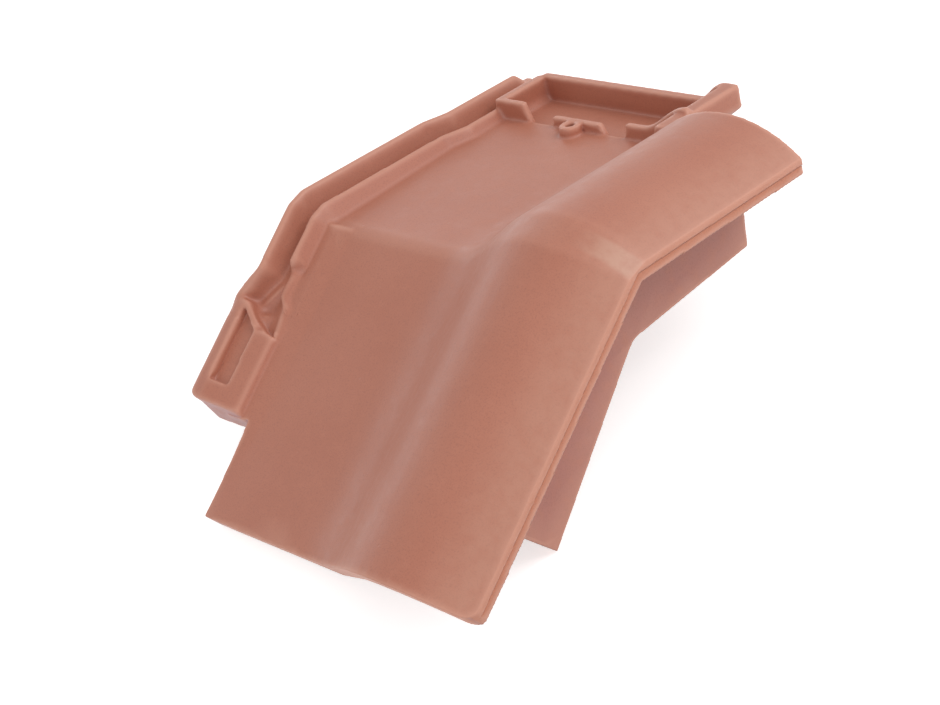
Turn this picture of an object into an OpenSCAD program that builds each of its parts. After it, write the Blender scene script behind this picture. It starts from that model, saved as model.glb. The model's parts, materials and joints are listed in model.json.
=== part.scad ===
// Knee tile for a mansard roof: an interlocking clay roof tile with one side roll, bent across its
// middle so that it turns a course from the upper roof slope onto the steep lower one.
// One piece of pressed and fired clay, in millimetres, lying unheld on a level floor: +Z up, the foot
// towards -Y, and the origin on the floor in the middle of the tile's box.

/* [Knee] */
// Angle by which the lower leg turns down from the upper leg
knee_angle = 38; // [28:1:46]
// Width of the smoothed strip along the knee, measured on the pan
knee_strip = 6; // [4:0.5:9]

/* [Legs] */
// Length of the upper leg, from the knee strip to the head end
upper_len = 177; // [170:1:200]
// Length of the lower leg, from the knee strip to the foot
lower_len = 175; // [160:1:200]
// Length of the upper leg that the roll covers, where the next tile's roll butts on
roll_len = 117; // [108:1:124]
// Rise of the pan from the knee strip to the front rib of the head lock
pan_rise = 4; // [2:0.5:6]

/* [Section] */
// Thickness of the pan and of the roll's flank
pan_t = 12; // [10:0.5:14]
// Distance from the left pan edge to the right edge of the roll
roll_edge_x = 234; // [228:1:240]
// Distance from the left pan edge to the roll's crest
crest_x = 185; // [180:1:190]
// Height of the crest above the pan
crest_h = 40; // [36:0.5:44]
// Radius of the crest
crest_r = 72; // [70:1:78]
// Thickness of the clay at the crest
crest_t = 12; // [10:0.5:14]
// Slope of the roll's flank
flank_angle = 34; // [31:1:37]
// Radius of the hollow curve between pan and flank
valley_r = 70; // [50:1:76]
// Height of the roll's right edge face
edge_t = 9; // [7:0.5:11]
// Height of the thin lip along the top of the edge face
lip_t = 3.5; // [2:0.5:5]
// Distance by which the lip stands out from the edge face
lip_out = 1.5; // [1:0.25:2.5]

/* [Side lock] */
// Distance from the left pan edge to the outer face of the lock
lock_w = 34.5; // [33:0.5:37]
// Height of the outer rib above the pan
outer_rib_h = 17; // [15:0.5:19]
// Width of the outer rib at its foot
outer_rib_w = 12; // [10:0.5:13]
// Width of the outer rib at its top
outer_rib_top = 5; // [4:0.5:6]
// Height of the water groove's floor above the pan
groove_h = 3; // [1.5:0.5:4.5]
// Distance from the left pan edge to the outer face of the inner rib
inner_rib_x = 18.5; // [17:0.5:20]
// Height of the inner rib above the pan
inner_rib_h = 10; // [8:0.5:12]
// Width of the inner rib at its top
inner_rib_top = 3; // [2:0.5:4]
// Width of the inner rib's slope down to the pan
inner_rib_slope = 6; // [4:0.5:8]
// Distance by which both ribs step in towards the head
lock_step = 5; // [3:0.5:6]
// Distance from the knee strip to where the ribs begin to step in
step_start = 92; // [84:1:98]
// Length of the slanting stretch in which the ribs step in
step_len = 16; // [12:1:20]
// Length of the inner rib on the lower leg, from the knee strip to where its end turns in
inner_rib_end = 46; // [42:1:48]
// Distance by which the inner rib's end turns in towards the pan
inner_rib_turn = 10; // [6:1:12]

/* [Foot pad of the side lock] */
// Distance from the left pan edge to the outer face of the pad
pad_w = 46; // [43:0.5:49]
// Distance from the knee strip to where the lock begins to widen into the pad
pad_start = 36; // [32:1:40]
// Length of the slanting stretch in which the lock widens into the pad
pad_widen = 18; // [14:1:22]
// Distance from the knee strip to the lower end of the pad, where the tile's corner is cut away
pad_end = 117; // [110:1:124]
// Height of the pad's outer border above the pan
pad_h = 12.5; // [11:0.5:14]
// Height of the pad's right flange above the pan
flange_h = 6; // [4:0.5:8]
// Distance from the left pan edge to the right edge of the flange
flange_x = 7; // [5:0.5:9]
// Distance from the knee strip to the upper end of the flange
flange_start = 70; // [66:1:74]
// Distance from the left pan edge to the outer side of the pocket
pocket_x = 34; // [32:0.5:36]
// Width of the pocket
pocket_w = 13; // [10:0.5:14]
// Width of the curved rib between the water groove and the pocket
stop_w = 5; // [4:0.5:7]
// Distance from the knee strip to the lower end of the pocket
pocket_end = 104; // [98:1:106]
// Height of the pocket's floor above the pan
pocket_floor = 4; // [2:0.5:5]
// Bevel of the pad's outer edge
pad_bevel = 3; // [1.5:0.5:4]
// Radius of the pad's outer corner at its lower end
pad_round = 9; // [5:1:12]
// Width of the flange's slope down to the pan
flange_slope = 3; // [2:0.5:5]

/* [Head lock] */
// Thickness of the head rib
head_rib_t = 6; // [5:0.5:8]
// Height of the head rib above the channel floor
head_rib_h = 15.5; // [13:0.5:18]
// Height of the head rib's low left end, behind the groove of the side lock
head_lip_h = 10; // [8:0.5:12]
// Clear width of the head channel, from the front rib to the head rib
channel_w = 32.5; // [28:0.5:36]
// Thickness of the front rib
front_rib_t = 4.5; // [3.5:0.5:6]
// Height of the front rib above the channel floor
front_rib_h = 10; // [8.5:0.5:12]
// Distance from the left pan edge to the outer face of the side rib
side_rib_x = 13.5; // [12:0.5:15]
// Width of the side rib
side_rib_t = 6.5; // [5:0.5:8]
// Length of the front rib's corner piece
corner_len = 24; // [20:1:28]
// Distance from the left pan edge to the front rib's middle piece
middle_x = 33; // [30:1:36]
// Length of the front rib's middle piece
middle_len = 38; // [34:1:42]
// Distance from the left pan edge to the front rib's right piece
right_x = 92; // [86:1:96]
// Length of a rib's sloping end
rib_end = 5; // [3:0.5:6]
// Height of the flank ridge above the channel floor
ridge_h = 25.5; // [23:0.5:28]
// Distance from the left pan edge to the outer face of the flank ridge
ridge_x = 143; // [140:0.5:146]
// Width of the flank ridge at its top
ridge_top = 10; // [8:0.5:12]
// Bevel of the flank ridge's outer edge
ridge_bevel = 2.5; // [1.5:0.5:4]
// Height by which the front rib's right piece stands above the ridge
ridge_step = 3; // [1:0.5:5]

/* [Nail hole] */
// Diameter of the nail hole
nail_d = 5.5; // [4.5:0.5:7]
// Outer diameter of the boss round the nail hole
boss_d = 13.5; // [11:0.5:16]
// Distance of the nail hole from the left pan edge
nail_x = 52; // [48:1:58]
// Distance of the nail hole in front of the front rib's face
nail_gap = 4; // [2:0.5:6]

/* [Side wall under the roll] */
// Distance from the left pan edge to the outer face of the wall
wall_x = 200; // [196:1:204]
// Thickness of the wall
wall_t = 10; // [8:0.5:12]
// Depth of the wall below the pan at its head end
wall_head_depth = 28; // [24:1:32]
// Depth of the wall below the pan at the knee
wall_knee_depth = 36; // [32:1:40]
// Radius of the wall's inner corner under the knee
wall_round = 14; // [8:1:40]
// Depth of the wall below the pan at its foot end
wall_foot_depth = 50; // [46:1:54]
// Distance from the knee strip to the foot of the wall's head end
wall_head = 102; // [96:1:106]
// Distance from the knee strip to the foot of the wall's foot end
wall_foot = 121; // [116:1:126]
// Lean of the wall's ends
wall_lean = 6; // [3:0.5:9]

/* [Hanging nibs] */
// Depth of a nib below the pan's underside
nib_depth = 18; // [14:1:22]
// Thickness of a nib along the slope
nib_t = 16; // [13:1:20]
// Width of a nib
nib_w = 34; // [28:1:38]
// Distance between the middles of the two nibs
nib_pitch = 80; // [66:1:86]
// Distance from the left pan edge to the middle between the nibs
nib_mid_x = 62; // [56:1:66]

/* [Hidden] */
$fn = 64;
// Number of flats in each arc of the section and of the wall
arc_steps = 12;
// Length by which the lock's fold ends short of the pad
fold_gap = 4;

// Length by which a cutter passes the solid that it cuts, and a rib is sunk into the clay below it
past = 1;
// Edge of a block that is larger than the whole tile
block = 900;
// Length by which a leg is drawn past the knee, and depth by which its clay is drawn under it
knee_over = 130;

// Fold between a leg and the knee strip
strip_tilt = knee_angle / 2;
// Level inside the pan from which ribs rise
root_h = -pan_t / 2;

// Roll section: centre of the crest arc, and where valley, flank and crest meet
crest_cz = crest_h - crest_r;
flank_top = [crest_x - crest_r * sin(flank_angle), crest_cz + crest_r * cos(flank_angle)];
flank_foot_x = flank_top[0] - flank_top[1] / tan(flank_angle);
valley_len = valley_r * tan(flank_angle / 2);
valley_start = flank_foot_x - valley_len;
valley_end = [flank_foot_x + valley_len * cos(flank_angle), valley_len * sin(flank_angle)];
edge_h = crest_cz + sqrt(pow(crest_r, 2) - pow(roll_edge_x - crest_x, 2));

edge_angle = asin((roll_edge_x - crest_x) / crest_r);

// Underside of the roll: an arc under the crest that ends at the bottom of the edge face
under_crest_h = crest_h - crest_t;
under_edge_x = roll_edge_x - lip_out;
under_drop = under_crest_h - (edge_h - edge_t);
under_r = (pow(under_edge_x - crest_x, 2) + pow(under_drop, 2)) / (2 * under_drop);
under_c = [crest_x, under_crest_h - under_r];
under_edge_angle = asin((under_edge_x - crest_x) / under_r);

// Underside of the flank, parallel to its top, from the pan's underside up to the arc
flank_dir = [cos(flank_angle), sin(flank_angle)];
under_flank = flank_top + pan_t * [sin(flank_angle), -cos(flank_angle)];
flank_low_x = under_flank[0] - (under_flank[1] + pan_t) / tan(flank_angle);
flank_reach = -flank_dir * (under_flank - under_c);
flank_meet = under_flank + flank_dir * (flank_reach
    + sqrt(pow(flank_reach, 2) - pow(norm(under_flank - under_c), 2) + pow(under_r, 2)));
flank_meet_angle = atan2(flank_meet[0] - under_c[0], flank_meet[1] - under_c[1]);

// Place on the flank up to which a rib's root still lies inside the clay
flank_root_x = flank_low_x + (pan_t + root_h - past) / tan(flank_angle);

// Points of an arc about a centre, with angles counted from straight up towards the right edge
function arc(centre, r, from, to) =
    [for (i = [0 : arc_steps]) let (a = from + (to - from) * i / arc_steps) centre + r * [sin(a), cos(a)]];

// Top line of the roll from the pan to the edge, and its underside from the edge back to the pan
roll_top = concat(
    arc([valley_start, valley_r], valley_r, 180, 180 - flank_angle),
    arc([crest_x, crest_cz], crest_r, -flank_angle, edge_angle)
);
roll_under = concat(
    [[roll_edge_x, edge_h - lip_t], [under_edge_x, edge_h - lip_t]],
    arc(under_c, under_r, under_edge_angle, flank_meet_angle),
    [[flank_low_x, -pan_t]]
);

// Top line of the side lock from its outer face to the pan
lock_bevel = outer_rib_top / 2;
lock_top = [
    [-lock_w, outer_rib_h - lock_bevel], [-lock_w + lock_bevel, outer_rib_h],
    [-lock_w + outer_rib_top, outer_rib_h], [-lock_w + outer_rib_w, groove_h], [-inner_rib_x, groove_h],
    [-inner_rib_x, inner_rib_h], [-inner_rib_x + inner_rib_top, inner_rib_h],
    [-inner_rib_x + inner_rib_top + inner_rib_slope, 0]
];

// Ribs of the side lock, each from its outer face: the outer one with the groove's floor, the inner one with
// its slope down to the pan
groove_end = lock_w - inner_rib_x + past;
outer_rib = [[0, root_h], [0, outer_rib_h - lock_bevel], [lock_bevel, outer_rib_h],
    [outer_rib_top, outer_rib_h], [outer_rib_w, groove_h], [groove_end, groove_h], [groove_end, root_h]];
slope_foot = inner_rib_top + inner_rib_slope;
inner_rib = [[0, root_h], [0, inner_rib_h], [inner_rib_top, inner_rib_h], [slope_foot, 0],
    [slope_foot, root_h]];

// Length of each leg that is folded together with the knee
upper_knee = step_start / 2;
lower_knee = pad_start - fold_gap;

// Head lock: places along the upper leg
head_face_s = upper_len - head_rib_t;
front_rib_s = head_face_s - channel_w - front_rib_t;
nail_s = front_rib_s - nail_gap;

// Ends of the lock ribs inside the head rib, and the drop by which the outer one ends under its top
rib_head_s = head_face_s + past;
head_fall = outer_rib_h - head_lip_h + past;

// Paths of the lock ribs' outer faces, as [x, s]: on the upper leg from x at the knee, and on the lower leg
step_end = step_start + step_len;
pad_top_s = pad_start + pad_widen;
function upper_path(x) =
    [[x, upper_knee - past], [x, step_start], [x + lock_step, step_end], [x + lock_step, rib_head_s]];
pad_rib_s = pad_top_s + stop_w + past;
lower_outer_path = [[-lock_w, lower_knee - past], [-lock_w, pad_start], [-pad_w, pad_top_s],
    [-pad_w, pad_rib_s]];
lower_inner_path = [[-inner_rib_x, lower_knee - past], [-inner_rib_x, inner_rib_end],
    [-inner_rib_x + inner_rib_turn, inner_rib_end + inner_rib_turn]];

// Round outer corner of the pad, as [x, s]
pad_corner = arc([-pad_w + pad_round, pad_end - pad_round], pad_round, -90, 0);

// Places of a point [x, s, h] of the upper and of the lower leg, seen from the middle of the knee strip
knee_half = knee_strip / 2 * [0, cos(strip_tilt), sin(strip_tilt)];
lower_along = [0, -cos(knee_angle), -sin(knee_angle)];
lower_up = [0, -sin(knee_angle), cos(knee_angle)];
function upper_place(p) = p + knee_half;
function lower_place(p) = [p[0], 0, 0] + p[1] * lower_along + p[2] * lower_up - knee_half;
function side_view(p) = [p[1], p[2]];

// Wall in side view: top inside the roll, leaning ends, and bottom lines that meet under the knee
wall_top = under_crest_h + crest_t / 2;
knee_back = knee_strip / (2 * cos(strip_tilt));
wall_head_top = wall_head + (wall_top + wall_head_depth) * tan(wall_lean);
wall_foot_top = wall_foot + (wall_top + wall_foot_depth) * tan(wall_lean);
wall_peak = side_view(upper_place([0, -wall_top * tan(strip_tilt) - knee_back, wall_top]));
wall_inner = side_view(upper_place([0, wall_knee_depth * tan(strip_tilt) - knee_back, -wall_knee_depth]));
wall_head_low = side_view(upper_place([0, wall_head, -wall_head_depth]));
wall_foot_low = side_view(lower_place([0, wall_foot, -wall_foot_depth]));

// Round in the wall's inner corner
to_head = (wall_head_low - wall_inner) / norm(wall_head_low - wall_inner);
to_foot = (wall_foot_low - wall_inner) / norm(wall_foot_low - wall_inner);
half_open = acos(to_head * to_foot) / 2;
round_c = wall_inner + (to_head + to_foot) / norm(to_head + to_foot) * wall_round / sin(half_open);
round_head = wall_inner + to_head * wall_round / tan(half_open) - round_c;
round_foot = wall_inner + to_foot * wall_round / tan(half_open) - round_c;
round_line = arc(round_c, wall_round, atan2(round_head[0], round_head[1]),
    atan2(round_foot[0], round_foot[1]));

// Corners on which the tile lies, and the floor's directions seen from the knee
foot_rest = lower_place([0, lower_len, -pan_t]);
wall_rest = lower_place([wall_x - wall_t, wall_foot, -wall_foot_depth]);
nib_rest = upper_place([nib_mid_x - (nib_pitch + nib_w) / 2, upper_len, -pan_t - nib_depth]);
floor_normal = cross(wall_rest - foot_rest, nib_rest - foot_rest);
floor_up = floor_normal / norm(floor_normal);
floor_lean = [1, 0, 0] - floor_up[0] * floor_up;
floor_x = floor_lean / norm(floor_lean);
floor_y = cross(floor_up, floor_x);

// Outermost corners of the tile, and the middle of its box on the floor
outer_corners = concat(
    [for (p = concat(roll_top, [[roll_edge_x, edge_h - lip_t]])) lower_place([p[0], lower_len, p[1]])],
    [for (p = concat([[-pad_w, pad_top_s]], pad_corner), h = [-pan_t, pad_h]) lower_place([p[0], p[1], h])],
    [for (h = [-pan_t, ridge_h]) upper_place([ridge_x - ridge_top, upper_len, h])],
    [upper_place([roll_edge_x, roll_len, edge_h])],
    [upper_place([-lock_w, step_start, outer_rib_h - lock_bevel])]
);
corner_x = [for (p = outer_corners) p * floor_x];
corner_y = [for (p = outer_corners) p * floor_y];
box_mid = [(min(corner_x) + max(corner_x)) / 2, (min(corner_y) + max(corner_y)) / 2, foot_rest * floor_up];

// Four turns about the knee line, each a quarter of the knee angle, one way or the other. Every part of the
// fold takes all four, so that the rounding in a turn is the same for all and their faces still meet.
module turned(a, b, c, d) {
    quarter = knee_angle / 4;
    rotate([a * quarter, 0, 0])
        rotate([b * quarter, 0, 0])
            rotate([c * quarter, 0, 0])
                rotate([d * quarter, 0, 0])
                    children();
}

// Frames of the legs and of the strip: s runs away from the knee along the leg, h up from the pan
module on_upper() {
    translate(knee_half)
        turned(1, -1, 1, -1)
            children();
}

module on_strip() {
    turned(1, -1, 1, 1)
        children();
}

module on_lower() {
    translate(-knee_half)
        turned(1, 1, 1, 1)
            mirror([0, 1, 0])
                children();
}

// A section in x and h, drawn out along the leg from s0 to s1
module along(s0, s1) {
    translate([0, s1, 0])
        rotate([90, 0, 0])
            linear_extrude(s1 - s0)
                children();
}

// A side view in s and h, drawn out across the leg from x0 to x1
module across(x0, x1) {
    translate([x0, 0, 0])
        rotate([90, 0, 90])
            linear_extrude(x1 - x0)
                children();
}

// A plan view in x and s, drawn up from h0 to h1
module upright(h0, h1) {
    translate([0, 0, h0])
        linear_extrude(h1 - h0)
            children();
}

// A rib section of [x, h] points, carried along a path of [x, s] points
module run(section, path) {
    n = len(section);
    last = len(path) - 1;
    polyhedron(
        [for (p = path, q = section) [p[0] + q[0], p[1], q[1]]],
        concat(
            [[for (k = [0 : n - 1]) k]],
            [for (i = [0 : last - 1], k = [0 : n - 1]) let (m = (k + 1) % n)
                [i * n + k, i * n + n + k, i * n + n + m, i * n + m]],
            [[for (k = [n - 1 : -1 : 0]) last * n + k]]
        )
    );
}

// Pan and roll together, as on a straight leg
module body_section() {
    polygon(concat([[-lock_w, -pan_t], [-lock_w, 0]], roll_top, roll_under));
}

// Outline of the flank ridge from its bevel to its outer foot, which lies inside the flank
ridge_foot_h = flank_top[1] + (ridge_x - flank_top[0]) * tan(flank_angle) - pan_t / 2;
ridge_line = [[ridge_x - ridge_bevel, ridge_h], [ridge_x, ridge_h - ridge_bevel], [ridge_x, ridge_foot_h]];

// Pan and flank where the roll is left off, with the flank ridge
module head_section() {
    intersection() {
        body_section();
        translate([-lock_w + lock_step, -pan_t - past])
            square([lock_w - lock_step + ridge_x, pan_t + past + ridge_h]);
    }
    polygon(concat([[ridge_x - ridge_top, ridge_h]], ridge_line,
        [[ridge_x - ridge_top - ridge_bevel, valley_end[1]]]));
}

// Pan surface that rises to the front rib
module pan_wedge() {
    end_s = front_rib_s + front_rib_t / 2;
    across(-inner_rib_x + inner_rib_top, flank_root_x)
        polygon([[knee_strip, root_h], [knee_strip, 0], [end_s, pan_rise], [end_s, root_h]]);
}

// Points of a line that flows from one level to another, as [x, h]
function flow(from, to) =
    [for (i = [0 : arc_steps]) let (u = i / arc_steps)
        [from[0] + (to[0] - from[0]) * u, from[1] + (to[1] - from[1]) * (1 - cos(180 * u)) / 2]];

// Head rib, side rib and front rib round the head channel
module head_lock() {
    left = -lock_w + lock_step;
    along(head_face_s, upper_len)
        polygon(concat([[left, -pan_t], [left, head_lip_h], [-side_rib_x - past, head_lip_h],
            [-side_rib_x + side_rib_t / 2, head_rib_h]],
            flow([flank_foot_x + valley_len / 2, head_rib_h], [ridge_x - ridge_top, ridge_h]),
            ridge_line, [[flank_low_x, -pan_t]]));
    translate([-side_rib_x, front_rib_s, root_h])
        cube([side_rib_t, head_face_s - front_rib_s + past, head_rib_h - root_h]);
    along(front_rib_s, front_rib_s + front_rib_t) {
        rib_piece(-side_rib_x, -side_rib_x + corner_len, head_rib_h);
        rib_piece(middle_x, middle_x + middle_len, front_rib_h);
        polygon(concat([[right_x - rib_end, root_h], [right_x, front_rib_h + ridge_step]],
            flow([flank_foot_x, front_rib_h + ridge_step], [ridge_x - ridge_bevel, ridge_h + ridge_step]),
            [[ridge_x, ridge_h], [ridge_x, ridge_foot_h], [flank_root_x, root_h]]));
    }
    translate([nail_x, nail_s, root_h])
        cylinder(h = front_rib_h - root_h, d = boss_d);
}

// Front rib piece with a sloping right end
module rib_piece(x0, x1, h) {
    polygon([[x0, root_h], [x0, h], [x1, h], [x1 + rib_end, 0], [x1 + rib_end, root_h]]);
}

// Hanging nibs, which hook over the batten
module nibs() {
    for (side = [-1, 1])
        translate([nib_mid_x + side * nib_pitch / 2 - nib_w / 2, upper_len - nib_t, -pan_t - nib_depth])
            cube([nib_w, nib_t, nib_depth - root_h]);
}

// Wall under the roll, across both legs
module wall() {
    across(wall_x - wall_t, wall_x)
        polygon(concat(
            [side_view(upper_place([0, wall_head_top, wall_top])), wall_head_low],
            round_line,
            [wall_foot_low, side_view(lower_place([0, wall_foot_top, wall_top])), wall_peak]));
}

// All above the slope in which the outer rib falls between s0 and s1
module rib_fall(s0, s1, drop) {
    far = s1 - s0;
    across(-2 * pad_w, 0)
        polygon([[s0 - far, outer_rib_h + drop], [s1 + far, outer_rib_h - 2 * drop], [s1 + far, block],
            [s0 - far, block]]);
}

module upper_leg() {
    difference() {
        along(upper_knee - past, roll_len)
            body_section();
        upright(-block / 2, block / 2)
            polygon([[-lock_w, step_start], [-lock_w + lock_step, step_end], [-lock_w + lock_step, block],
                [-block, block], [-block, step_start]]);
    }
    along(roll_len - past, upper_len)
        head_section();
    difference() {
        run(outer_rib, upper_path(-lock_w));
        rib_fall(rib_head_s - head_fall, rib_head_s, head_fall);
    }
    run(inner_rib, upper_path(-inner_rib_x));
    pan_wedge();
    head_lock();
    nibs();
}

// Pad at the foot end of the side lock: a thick border that falls to a thin flange
module pad_section() {
    translate([-pad_w, 0])
        polygon([[0, -pan_t], [0, pad_h - pad_bevel], [pad_bevel, pad_h], [pad_w - pocket_x, pad_h],
            [pad_w - flange_x, flange_h], [pad_w - flange_x + flange_slope, 0], [pad_w, root_h],
            [pad_w, -pan_t]]);
}

// Upper edge of the pad right of its border, as [x, s]: it turns the water groove out onto the pan
function stop_line(drop) =
    [for (i = [0 : arc_steps]) let (u = i / arc_steps)
        [-pocket_x + (pocket_x - flange_x) * u,
            pad_top_s + drop + (flange_start - pad_top_s) * sin(90 * u)]];

module pad() {
    upright(-pan_t, root_h + past)
        polygon([[-lock_w, pad_start], [-pad_w, pad_top_s], [-pad_w, pad_rib_s], [-pocket_x, pad_rib_s],
            [-pocket_x + past, pad_start]]);
    difference() {
        along(pad_top_s + past, pad_end)
            pad_section();
        upright(0, block)
            polygon(concat([[-pocket_x, pad_start]], stop_line(0),
                [[past, flange_start], [past, pad_start]]));
        intersection() {
            upright(pocket_floor, block)
                polygon(concat(stop_line(stop_w), [[-flange_x, pocket_end], [-pocket_x, pocket_end]]));
            translate([-pocket_x, pad_start, 0])
                cube([pocket_w, block, block]);
        }
    }
}

// Corner of the foot that is cut away below the pad
module foot_corner() {
    translate([-block, pad_end, -block / 2])
        cube(block);
    upright(-block / 2, block / 2)
        polygon(concat(pad_corner, [[-pad_w + pad_round, pad_end + past], [-pad_w - past, pad_end + past],
            [-pad_w - past, pad_end - pad_round]]));
}

module lower_leg() {
    difference() {
        union() {
            along(lower_knee - past, lower_len)
                body_section();
            difference() {
                run(outer_rib, lower_outer_path);
                rib_fall(pad_start, pad_top_s, outer_rib_h - pad_h);
            }
            run(inner_rib, lower_inner_path);
            pad();
        }
        foot_corner();
    }
}

// Lock, pan and roll as one line, with clay down to far below it
module filled_section() {
    polygon(concat([[-lock_w, -knee_over]], lock_top, roll_top, [[roll_edge_x, -knee_over]]));
}

// All that lies below the underside
module under_section() {
    bottom = -knee_over - past;
    polygon(concat([[-lock_w - past, -pan_t], [-lock_w - past, bottom], [roll_edge_x + past, bottom],
        [roll_edge_x + past, edge_h - lip_t]], roll_under));
}

// Folded shell at the knee: the clay that lies under both legs and the strip, over their undersides
module knee() {
    difference() {
        intersection() {
            on_upper()
                along(-knee_over, upper_knee)
                    filled_section();
            on_lower()
                along(-knee_over, lower_knee)
                    filled_section();
            on_strip()
                along(-knee_over, knee_over)
                    filled_section();
        }
        intersection() {
            on_upper()
                along(-knee_over - past, upper_knee + past)
                    under_section();
            on_lower()
                along(-knee_over - past, lower_knee + past)
                    under_section();
        }
    }
}

// Tile seen from the middle of its knee strip, with the nail hole
module folded() {
    difference() {
        union() {
            on_upper()
                upper_leg();
            on_lower()
                lower_leg();
            knee();
            wall();
        }
        on_upper()
            translate([nail_x, nail_s, -pan_t - past])
                cylinder(h = pan_t + front_rib_h + 2 * past, d = nail_d);
    }
}

module tile() {
    color([0.73, 0.49, 0.40])
        translate(-box_mid)
            multmatrix([floor_x, floor_y, floor_up])
                folded();
}

tile();
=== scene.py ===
import json
import math

import bmesh
import bpy
from mathutils import Matrix, Vector
from mathutils.bvhtree import BVHTree


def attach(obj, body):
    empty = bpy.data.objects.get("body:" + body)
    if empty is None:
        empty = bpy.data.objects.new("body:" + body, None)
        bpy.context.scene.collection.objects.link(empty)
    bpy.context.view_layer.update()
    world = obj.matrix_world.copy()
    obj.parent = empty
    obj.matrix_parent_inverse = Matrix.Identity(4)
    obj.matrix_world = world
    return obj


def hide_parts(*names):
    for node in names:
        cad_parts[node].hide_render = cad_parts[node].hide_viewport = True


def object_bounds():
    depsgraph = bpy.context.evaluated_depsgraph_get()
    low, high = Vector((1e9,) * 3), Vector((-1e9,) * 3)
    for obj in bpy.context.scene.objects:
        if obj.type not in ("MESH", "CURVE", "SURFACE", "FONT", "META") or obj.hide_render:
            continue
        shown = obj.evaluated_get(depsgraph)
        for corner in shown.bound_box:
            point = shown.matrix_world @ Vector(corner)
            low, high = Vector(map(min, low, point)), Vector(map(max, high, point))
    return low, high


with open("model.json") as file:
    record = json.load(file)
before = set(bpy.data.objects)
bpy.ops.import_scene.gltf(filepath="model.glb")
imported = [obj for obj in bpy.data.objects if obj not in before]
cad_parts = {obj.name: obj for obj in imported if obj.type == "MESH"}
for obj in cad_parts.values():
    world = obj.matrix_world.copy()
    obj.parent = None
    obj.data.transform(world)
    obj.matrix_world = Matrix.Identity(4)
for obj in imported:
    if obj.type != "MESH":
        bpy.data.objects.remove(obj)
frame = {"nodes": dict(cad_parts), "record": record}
cad_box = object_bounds()
scene = bpy.context.scene


# Tile: a knee tile for a mansard roof, pressed from red clay between two moulds, trimmed with a wire along
# its edges while it is still soft, then dried and fired in one piece. The press leaves corners a little
# round, and a copy of the solid is softened in the same way.
merge_distance = 1e-6
press_depth = 9
press_fill = 0.9
press_rounds = 5
soften_share = 0.5

clay_form = bmesh.new()
clay_form.from_mesh(frame["nodes"]["tile"].data)
bmesh.ops.remove_doubles(clay_form, verts=clay_form.verts, dist=merge_distance)
clay_mesh = bpy.data.meshes.new("clay_tile")
clay_form.to_mesh(clay_mesh)
clay_form.free()
clay_tile = bpy.data.objects.new("clay_tile", clay_mesh)
scene.collection.objects.link(clay_tile)


def softened(piece, name, rounds):
    """A modifier that rounds a piece by so many rounds."""
    rounding = piece.modifiers.new(name, "SMOOTH")
    rounding.factor = soften_share
    rounding.iterations = rounds
    return rounding


def settled_mesh(piece):
    """The piece's mesh with its modifiers applied."""
    bpy.context.view_layer.update()
    graph = bpy.context.evaluated_depsgraph_get()
    return bpy.data.meshes.new_from_object(piece.evaluated_get(graph), depsgraph=graph)


press = clay_tile.modifiers.new("press", "REMESH")
press.mode = "SHARP"
press.octree_depth = press_depth
press.scale = press_fill
press.use_smooth_shade = True
softened(clay_tile, "soften", press_rounds)
pressed_mesh = settled_mesh(clay_tile)
clay_tile.modifiers.clear()
clay_tile.data = pressed_mesh


# Directions of the tile: across it to the right, up the slope of the upper leg, and out of its pan. The
# nail hole and the face of the nibs give them, and the lower leg turns down from them at the knee.
knee_angle = math.radians(38)
strip_half = 0.003
nail_from_edge = 0.052
nail_from_leg = 0.130
nail_depth = 0.001

mounts = {mount["name"]: mount for mount in frame["record"]["mounts"]}
nail_place = Vector(mounts["nail_hole"]["pos_m"])
pan_up = Vector(mounts["nail_hole"]["axis"]).normalized()
up_slope = -Vector(mounts["batten_face"]["axis"]).normalized()
across = up_slope.cross(pan_up)
down_leg = -up_slope * math.cos(knee_angle) - pan_up * math.sin(knee_angle)
leg_up = pan_up * math.cos(knee_angle) - up_slope * math.sin(knee_angle)
upper_start = nail_place - across * nail_from_edge - up_slope * nail_from_leg + pan_up * nail_depth
knee_out = (pan_up + leg_up).normalized()
knee_along = knee_out.cross(across)
knee_place = upper_start - knee_along * strip_half
lower_start = knee_place - knee_along * strip_half


# Side lock of the tile: the mould rounds its ribs and hollows its water groove. On the lower leg the inner
# rib drops behind a small dimple to a low border, the pan rises softly to it, and the pad's pocket is
# shallow. The sizes are in metres: x across from the pan's edge, s along a leg, h out of the pan.
lock_reach = 0.012
lock_low = -0.003
rib_height = 0.017
groove_left = -0.0300
groove_right = -0.0245
groove_end = -0.0192
groove_floor = 0.0022
step_from = 0.092
step_to = 0.108
step_in = 0.005
widen_from = 0.036
widen_to = 0.054
widen_out = 0.0115
low_rib_share = 0.5
low_rib_start = (0.027, 0.031)
low_rib_end = (0.064, 0.069)
dimple_place = Vector((-0.0140, 0.0285))
dimple_reach = 0.0045
dimple_depth = 0.0030
border_from = Vector((-0.0120, 0.050))
border_to = Vector((-0.0075, 0.072))
border_length = 0.0225
border_height = 0.0045
border_reach = 0.0060
border_start = 0.044
border_end = 0.069
border_side = (-0.012, -0.006)
fillet_from = 0.0095
fillet_to = -0.0040
fillet_height = 0.0020
fillet_end = (0.117, 0.150)
pocket_left = -0.034
pocket_right = -0.021
pocket_top = 0.058
pocket_bottom = 0.1045
pocket_fill = 0.40
pad_height = 0.0125
flange_height = 0.006
flange_x = -0.007
torn_from = 0.108
torn_to = 0.116
torn_top = 0.006
torn_slope = 0.20
torn_side = (-0.004, 0)


def ramped(value, low, high):
    """A straight rise from 0 to 1 between two values."""
    return min(max((value - low) / (high - low), 0), 1)


def eased(value, low, high):
    """A smooth rise from 0 to 1 between two values."""
    share = ramped(value, low, high)
    return share * share * (3 - 2 * share)


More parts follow.
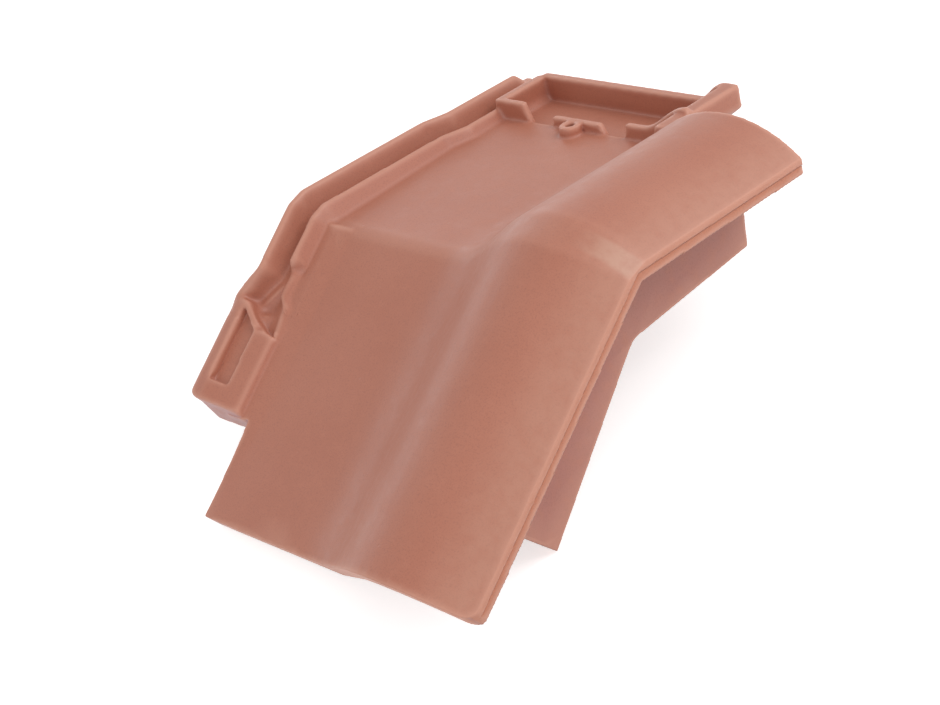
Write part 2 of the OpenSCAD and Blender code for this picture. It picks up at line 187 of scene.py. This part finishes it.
def groove_height(x, h):
    """The height of a point of the outer rib's inner side once the groove is hollowed."""
    if not groove_left < x < groove_end:
        return h
    return min(h, rib_height + (groove_floor - rib_height) * eased(x, groove_left, groove_right))


def upper_lock_height(x, s, h):
    """The height of a point of the upper leg's lock."""
    return groove_height(x - step_in * ramped(s, step_from, step_to), h)


def lower_lock_height(x, s, h):
    """The height of a point of the lower leg's lock."""
    if s < widen_to:
        h = groove_height(x + widen_out * ramped(s, widen_from, widen_to), h)
    if groove_end < x < fillet_from:
        place = Vector((x, s))
        if h > 0:
            h *= 1 - low_rib_share * eased(s, *low_rib_start) * (1 - eased(s, *low_rib_end))
        if border_start < s < border_end:
            h = min(h, border_height * (1 - eased(x, *border_side)) + fillet_height)
        along = ramped((place - border_from).dot((border_to - border_from).normalized()), 0, border_length)
        from_border = (place - border_from.lerp(border_to, along)).length
        h = max(h, border_height * (1 - eased(from_border, 0, border_reach)))
        fade = 1 - eased(s, *fillet_end)
        h = max(h, fillet_height * fade * ramped(x, fillet_from, fillet_to))
        h -= dimple_depth * (1 - eased((place - dimple_place).length, 0, dimple_reach))
    if pocket_left < x < pocket_right and pocket_top < s < pocket_bottom:
        pad_top = pad_height + (flange_height - pad_height) * ramped(x, pocket_left, flange_x)
        h += pocket_fill * max(pad_top - h, 0)
    return h


# Edge of the roll: the wire leaves a thin lip along the top of its edge face, and the corner at the foot is
# rounded by hand.
lip_below = 0.0170
face_below = 0.0110
face_left = 0.2312
face_right = 0.2329
face_out = 0.0008
foot_corner = Vector((0.234, 0.175))
corner_round = 0.008


def rounded_corner(x, s):
    """The place of a point near the foot once its right corner is rounded."""
    centre = foot_corner - Vector((corner_round, corner_round))
    reach = Vector((x, s)) - centre
    if min(reach) > 0 and reach.length > corner_round:
        return centre + reach * (corner_round / reach.length)
    return x, s


# Shape of the tile as it leaves the mould: the lock and the head are rounded a little, the rib's low border
# more, and the pan, roll and valley are swept smooth by the mould, the valley most of all.
head_reach = 0.150
head_from = 0.104
leaf_from = 0.030
leaf_to = 0.067
leaf_right = -0.004
swept_facing = 0.5
roll_end = 0.114
foot_end = 0.171
valley_left = 0.080
valley_right = 0.160
valley_from = 0.010
moulded_rounds = 24
leaf_rounds = 40
swept_rounds = 70
valley_rounds = 160

moulded_points = []
leaf_points = []
swept_points = []
valley_points = []
shaped_places = []
for number, (spot, facing) in enumerate([(v.co.copy(), v.normal.copy()) for v in pressed_mesh.vertices]):
    on_upper = (spot - knee_place).dot(knee_along) > 0
    leg_start = upper_start if on_upper else lower_start
    leg_run = up_slope if on_upper else down_leg
    leg_rise = pan_up if on_upper else leg_up
    from_leg = spot - leg_start
    x = from_leg.dot(across)
    s = from_leg.dot(leg_run)
    h = from_leg.dot(leg_rise)
    new_x, new_s, new_h = x, s, h
    if x < lock_reach and h > lock_low:
        new_h = upper_lock_height(x, s, h) if on_upper else lower_lock_height(x, s, h)
    if face_left < x < face_right and face_below < h < lip_below:
        new_x += face_out
    if not on_upper:
        new_x, new_s = rounded_corner(new_x, new_s)
        torn_share = eased(s, torn_from, torn_to) * (1 - eased(x, *torn_side))
        new_s += torn_slope * max(torn_top - h, 0) * torn_share
    if x < lock_reach or on_upper and s > head_from and x < head_reach:
        moulded_points.append(number)
        if not on_upper and leaf_from < s < leaf_to and x < leaf_right:
            leaf_points.append(number)
    elif facing.dot(knee_out) > swept_facing and x < face_left and s < (roll_end if on_upper else foot_end):
        swept_points.append(number)
        if valley_left < x < valley_right and s > valley_from:
            valley_points.append(number)
    shaped_places.extend(spot + across * (new_x - x) + leg_run * (new_s - s) + leg_rise * (new_h - h))
pressed_mesh.vertices.foreach_set("co", shaped_places)

for name, points, rounds in (
    ("moulded", moulded_points, moulded_rounds),
    ("leaf", leaf_points, leaf_rounds),
    ("swept", swept_points, swept_rounds),
    ("valley", valley_points, valley_rounds),
):
    clay_tile.vertex_groups.new(name=name).add(points, 1.0, "REPLACE")
    softened(clay_tile, name, rounds).vertex_group = name


# Edges and hollows of the tile: how far each point stands out from a much softer copy says what is an edge,
# which is painted pale, partly as rubbing from handling and partly as a painted highlight along the crests,
# and what is a hollow, which is painted paler and greyer as painted fill light.
blur_rounds = 60
triangle_share = 0.165

blurred = softened(clay_tile, "blurred", blur_rounds)
blurred_mesh = settled_mesh(clay_tile)
blurred_places = [vertex.co for vertex in blurred_mesh.vertices]
blurred_tree = BVHTree.FromPolygons(blurred_places, [face.vertices for face in blurred_mesh.polygons])
clay_tile.modifiers.remove(blurred)
bpy.data.meshes.remove(blurred_mesh)
thin = clay_tile.modifiers.new("thin", "DECIMATE")
thin.ratio = triangle_share
fired_mesh = settled_mesh(clay_tile)
clay_tile.modifiers.clear()
clay_tile.data = fired_mesh


# Surface of the tile: the strip along the knee is smoothed by hand, most of all at the roll's edge, which
# leaves the clay there paler, and a pale band along the whole right edge of the roll is a painted highlight.
# Faces cut by the wire, the pad's broken end, and the faces turned away and the wall under the roll, which
# take painted shade, are marked.
cut_facing = 0.70
roll_edge_from = 0.2300
foot_from = 0.1735
roll_end_from = 0.1160
torn_facing = 0.4
rub_half = 0.0085
rub_from = 0.200
rub_to = 0.226
rub_least = 0.10
rub_and_highlight_facing = (0.3, 0.6)
roll_highlight_from = 0.200
# Strength of the painted highlight along the roll's right edge.
roll_highlight = 0.40
wall_to = 0.220
wall_facing = 0.8
back_facing = (-0.3, 0.0)

marks = {"edge": [], "cut": [], "torn": [], "rub_and_highlight": [], "back": []}
for spot, facing in [(vertex.co.copy(), vertex.normal.copy()) for vertex in fired_mesh.vertices]:
    x = (spot - knee_place).dot(across)
    lower_s = (spot - lower_start).dot(down_leg)
    upper_s = (spot - upper_start).dot(up_slope)
    outward = facing.dot(knee_out)
    right_cut = x > roll_edge_from and facing.dot(across) > cut_facing
    foot_cut = lower_s > foot_from and facing.dot(down_leg) > cut_facing
    roll_cut = x > head_reach and upper_s > roll_end_from and facing.dot(up_slope) > cut_facing
    torn_face = x < lock_reach and lower_s > torn_from and facing.dot(down_leg) > torn_facing
    wall_face = head_reach < x < wall_to and facing.dot(across) > wall_facing
    strip = 1 - eased(abs((spot - knee_place).dot(knee_along)), 0.5 * rub_half, rub_half)
    knee_rub = strip * (rub_least + (1 - rub_least) * eased(x, rub_from, rub_to))
    # A pale band along the roll's right edge: a painted highlight.
    roll_edge_highlight = roll_highlight * eased(x, roll_highlight_from, roll_edge_from)
    # How far a point stands out: edges get a pale tint that is partly painted highlight, and hollows get
    # painted fill light.
    marks["edge"].append((spot - blurred_tree.find_nearest(spot)[0]).dot(facing))
    marks["cut"].append(float(right_cut or foot_cut or roll_cut))
    marks["torn"].append(float(torn_face))
    marks["rub_and_highlight"].append(max(knee_rub, roll_edge_highlight) * eased(outward, *rub_and_highlight_facing))
    # Painted shade: faces turned away from the outside, and the wall under the roll, are marked for a mauve
    # shade tint.
    marks["back"].append(max(1 - eased(outward, *back_facing), float(wall_face)))
for name, values in marks.items():
    layer = fired_mesh.attributes.new(name, "FLOAT", "POINT")
    layer.data.foreach_set("value", values)


# Clay of the tile: fired terracotta, matt with a faint sheen, a little uneven in colour, with a sandy grain
# and a few small pits. Wire-cut faces are redder and rougher. Faces turned away and the wall under the roll
# get a mauve painted shade. Edges get a pale tint that is partly rubbing and partly painted highlight, the
# roll's right edge a painted highlight, and hollows a paler, greyer tint that is painted fill light. Each
# range holds the lowest and highest value that goes in, and what comes out for them.
body_colour = (0.425, 0.151, 0.094)
pale_colour = (0.478, 0.186, 0.122)
fleck_colour = (0.300, 0.110, 0.075)
# Pale tint for edges: partly rubbing, partly a painted highlight along the crests.
edge_rub_and_highlight_colour = (0.610, 0.295, 0.212)
# Paler, greyer tint for hollows as painted fill light. The small pits take the same tint.
hollow_light_and_pit_colour = (0.470, 0.225, 0.185)
cut_colour = (0.500, 0.178, 0.098)
# Pale tint for the rubbed knee strip and for the painted highlight along the roll's right edge.
rub_and_highlight_colour = (0.530, 0.282, 0.203)
torn_colour = (0.500, 0.250, 0.235)
# Mauve painted shade for faces turned away and for the wall under the roll.
back_colour = (0.415, 0.165, 0.128)
pit_scale = 130
pit_share = 0.2
pit_range = (0.05, 0.12, 1, 0)
pit_choice_range = (0.56, 0.62, 0, 1)
patch_range = (0.35, 0.68, 0.1, 0.6)
mottle_range = (0.50, 0.75, 0, 0.5)
fleck_range = (0.50, 0.70, 0, 0.45)
rub_and_highlight_range = (0.30, 0.55, 0.6, 1)
edge_rub_and_highlight_range = (0.00004, 0.00045, 0, 0.70)
hollow_light_range = (-0.00010, -0.0008, 0, 0.50)
roughness_range = (0.3, 0.7, 0.42, 0.52)
cut_grain_range = (0, 1, 0.5, 1.6)
mottle_rise = 0.8
relief_strength = 0.35
relief_height = 0.0003

clay = bpy.data.materials.new("fired_clay")
clay.use_nodes = True
nodes = clay.node_tree.nodes
links = clay.node_tree.links
shader = nodes["Principled BSDF"]
clay_place = nodes.new("ShaderNodeTexCoord").outputs["Object"]


def noise_field(scale, detail, roughness):
    """A noise over the tile, with its scale in patches for each metre."""
    field = nodes.new("ShaderNodeTexNoise")
    field.inputs["Scale"].default_value = scale
    field.inputs["Detail"].default_value = detail
    field.inputs["Roughness"].default_value = roughness
    links.new(clay_place, field.inputs["Vector"])
    return field.outputs["Fac"]


def surface_mark(name):
    """A mark that each point of the surface holds."""
    mark = nodes.new("ShaderNodeAttribute")
    mark.attribute_name = name
    return mark.outputs["Fac"]


def remapped(value, span):
    """A value stretched from one range to another and held inside it."""
    ramp = nodes.new("ShaderNodeMapRange")
    for socket, number in zip(ramp.inputs[1:5], span):
        socket.default_value = number
    links.new(value, ramp.inputs[0])
    return ramp.outputs[0]


def combined(operation, first, second):
    """Two values put together."""
    sum_node = nodes.new("ShaderNodeMath")
    sum_node.operation = operation
    for socket, value in zip(sum_node.inputs, (first, second)):
        if isinstance(value, (int, float)):
            socket.default_value = value
        else:
            links.new(value, socket)
    return sum_node.outputs[0]


def tinted(under, over, share):
    """One colour laid over another in a share that changes over the surface."""
    mix = nodes.new("ShaderNodeMix")
    mix.data_type = "RGBA"
    links.new(share, mix.inputs["Factor"])
    for socket, colour in ((mix.inputs[6], under), (mix.inputs[7], over)):
        if isinstance(colour, tuple):
            socket.default_value = (*colour, 1)
        else:
            links.new(colour, socket)
    return mix.outputs[2]


patches = noise_field(scale=16, detail=5, roughness=0.6)
waves = noise_field(scale=22, detail=2, roughness=0.5)
pit_fields = noise_field(scale=60, detail=2, roughness=0.5)
mottle = noise_field(scale=140, detail=3, roughness=0.6)
grain = noise_field(scale=1100, detail=3, roughness=0.65)
edge = surface_mark("edge")
cut = surface_mark("cut")
torn = surface_mark("torn")
rub_and_highlight = surface_mark("rub_and_highlight")
back = surface_mark("back")

pit_cells = nodes.new("ShaderNodeTexVoronoi")
pit_cells.inputs["Scale"].default_value = pit_scale
links.new(clay_place, pit_cells.inputs["Vector"])
pit_choice = remapped(pit_fields, pit_choice_range)
pits = combined("MULTIPLY", remapped(pit_cells.outputs["Distance"], pit_range), pit_choice)

colour = tinted(body_colour, pale_colour, remapped(patches, patch_range))
# Painted shade: a mauve tint on faces turned away and on the wall under the roll.
colour = tinted(colour, back_colour, back)
colour = tinted(colour, cut_colour, cut)
colour = tinted(colour, torn_colour, torn)
colour = tinted(colour, pale_colour, remapped(mottle, mottle_range))
colour = tinted(colour, fleck_colour, remapped(grain, fleck_range))
# Rubbed knee strip, and a painted highlight along the roll's right edge.
colour = tinted(colour, rub_and_highlight_colour, combined("MULTIPLY", rub_and_highlight, remapped(mottle, rub_and_highlight_range)))
# Pale edges: partly rubbing, partly a painted highlight along the crests.
colour = tinted(colour, edge_rub_and_highlight_colour, remapped(edge, edge_rub_and_highlight_range))
# Painted fill light: hollows are tinted paler and greyer. The pits below take the same colour.
colour = tinted(colour, hollow_light_and_pit_colour, remapped(edge, hollow_light_range))
colour = tinted(colour, hollow_light_and_pit_colour, combined("MULTIPLY", pits, pit_share))
links.new(colour, shader.inputs["Base Color"])
links.new(remapped(mottle, roughness_range), shader.inputs["Roughness"])

grain_height = combined("MULTIPLY", grain, remapped(cut, cut_grain_range))
mottle_height = combined("ADD", combined("MULTIPLY", mottle, mottle_rise), waves)
relief = combined("SUBTRACT", combined("ADD", grain_height, mottle_height), pits)
bump = nodes.new("ShaderNodeBump")
bump.inputs["Strength"].default_value = relief_strength
bump.inputs["Distance"].default_value = relief_height
links.new(relief, bump.inputs["Height"])
links.new(bump.outputs["Normal"], shader.inputs["Normal"])

fired_mesh.materials.clear()
fired_mesh.materials.append(clay)
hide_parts("tile")
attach(clay_tile, "root")


# Floor: a plain white studio sheet of matt paper, far larger than the view and laid flat under the tile. It
# takes the tile's soft shadow, and a little glow that lights nothing makes it white to the camera.
floor_size = 12
floor_glow = 0.60
paper_white = (1, 1, 1, 1)
paper_grey = (0.85, 0.85, 0.85, 1)
paper_roughness = 0.9

floor_form = bmesh.new()
bmesh.ops.create_grid(floor_form, x_segments=1, y_segments=1, size=floor_size / 2)
floor_mesh = bpy.data.meshes.new("floor")
floor_form.to_mesh(floor_mesh)
floor_form.free()
floor = bpy.data.objects.new("floor", floor_mesh)
scene.collection.objects.link(floor)
paper = bpy.data.materials.new("white_paper")
paper.use_nodes = True
paper_tree = paper.node_tree
paper_shader = paper_tree.nodes["Principled BSDF"]
paper_shader.inputs["Base Color"].default_value = paper_grey
paper_shader.inputs["Roughness"].default_value = paper_roughness
paper_shader.inputs["Specular IOR Level"].default_value = 0
paper_shader.inputs["Emission Color"].default_value = paper_white


def seen_light(tree, unseen, seen):
    """One strength for what the camera sees, straight or mirrored, and another for what lights the tile."""
    ray = tree.nodes.new("ShaderNodeLightPath")
    share = ray.outputs["Is Camera Ray"]
    for kind in ("Is Glossy Ray", "Is Transmission Ray"):
        either = tree.nodes.new("ShaderNodeMath")
        either.operation = "MAXIMUM"
        tree.links.new(share, either.inputs[0])
        tree.links.new(ray.outputs[kind], either.inputs[1])
        share = either.outputs[0]
    strength = tree.nodes.new("ShaderNodeMapRange")
    strength.inputs["To Min"].default_value = unseen
    strength.inputs["To Max"].default_value = seen
    tree.links.new(share, strength.inputs["Value"])
    return strength.outputs["Result"]


paper_tree.links.new(seen_light(paper_tree, 0, floor_glow), paper_shader.inputs["Emission Strength"])
floor_mesh.materials.append(paper)


# Light: three soft lamps in an even white room. A large one stands over the tile's right side, a weaker one
# before its foot, and a low, faintly blue strip behind its left side gives the valley its sheen.
room_light = 0.62
room_seen = 1
white_light = (1, 1, 1)
blue_light = (0.90, 0.93, 1.0)

world = bpy.data.worlds.new("studio")
scene.world = world
world.use_nodes = True
room_tree = world.node_tree
room = room_tree.nodes["Background"]
room.inputs["Color"].default_value = (*white_light, 1)
room_tree.links.new(seen_light(room_tree, room_light, room_seen), room.inputs["Strength"])
tile_middle = (cad_box[0] + cad_box[1]) / 2


def soft_lamp(name, towards, distance, width, height, power, tint):
    """A soft lamp that faces the middle of the tile from a direction."""
    lamp = bpy.data.lights.new(name, "AREA")
    lamp.shape = "RECTANGLE"
    lamp.size = width
    lamp.size_y = height
    lamp.energy = power
    lamp.color = tint
    holder = bpy.data.objects.new(name, lamp)
    direction = Vector(towards).normalized()
    holder.location = tile_middle + direction * distance
    holder.rotation_euler = (-direction).to_track_quat("-Z", "Y").to_euler()
    scene.collection.objects.link(holder)


soft_lamp("right_lamp", (0.58, 0.46, 0.67), distance=1.8, width=1.3, height=1.3, power=16, tint=white_light)
soft_lamp("front_lamp", (0.10, -0.90, 0.40), distance=1.8, width=1.2, height=1.2, power=5, tint=white_light)
soft_lamp("valley_lamp", (-0.95, 0.26, 0.13), distance=1.6, width=1.6, height=0.32, power=3, tint=blue_light)
scene.view_settings.view_transform = "Standard"


# Camera: a long lens at the right of the foot, held askew so that the knee lies level in the picture. It
# looks down on the tile as it lies on the floor.
camera_place = Vector((0.7956, -0.5035, 0.7905))
camera_aim = Vector((-0.0296, -0.0047, 0.0041))
camera_roll = math.radians(-26.905)
film_width = 36
focal_length = 85.73

lens = bpy.data.cameras.new("camera")
lens.sensor_fit = "HORIZONTAL"
lens.sensor_width = film_width
lens.lens = focal_length
camera = bpy.data.objects.new("camera", lens)
scene.collection.objects.link(camera)
level_turn = (camera_aim - camera_place).to_track_quat("-Z", "Y").to_matrix()
camera_turn = level_turn @ Matrix.Rotation(camera_roll, 3, "Z")
camera.matrix_world = Matrix.Translation(camera_place) @ camera_turn.to_4x4()
scene.camera = camera
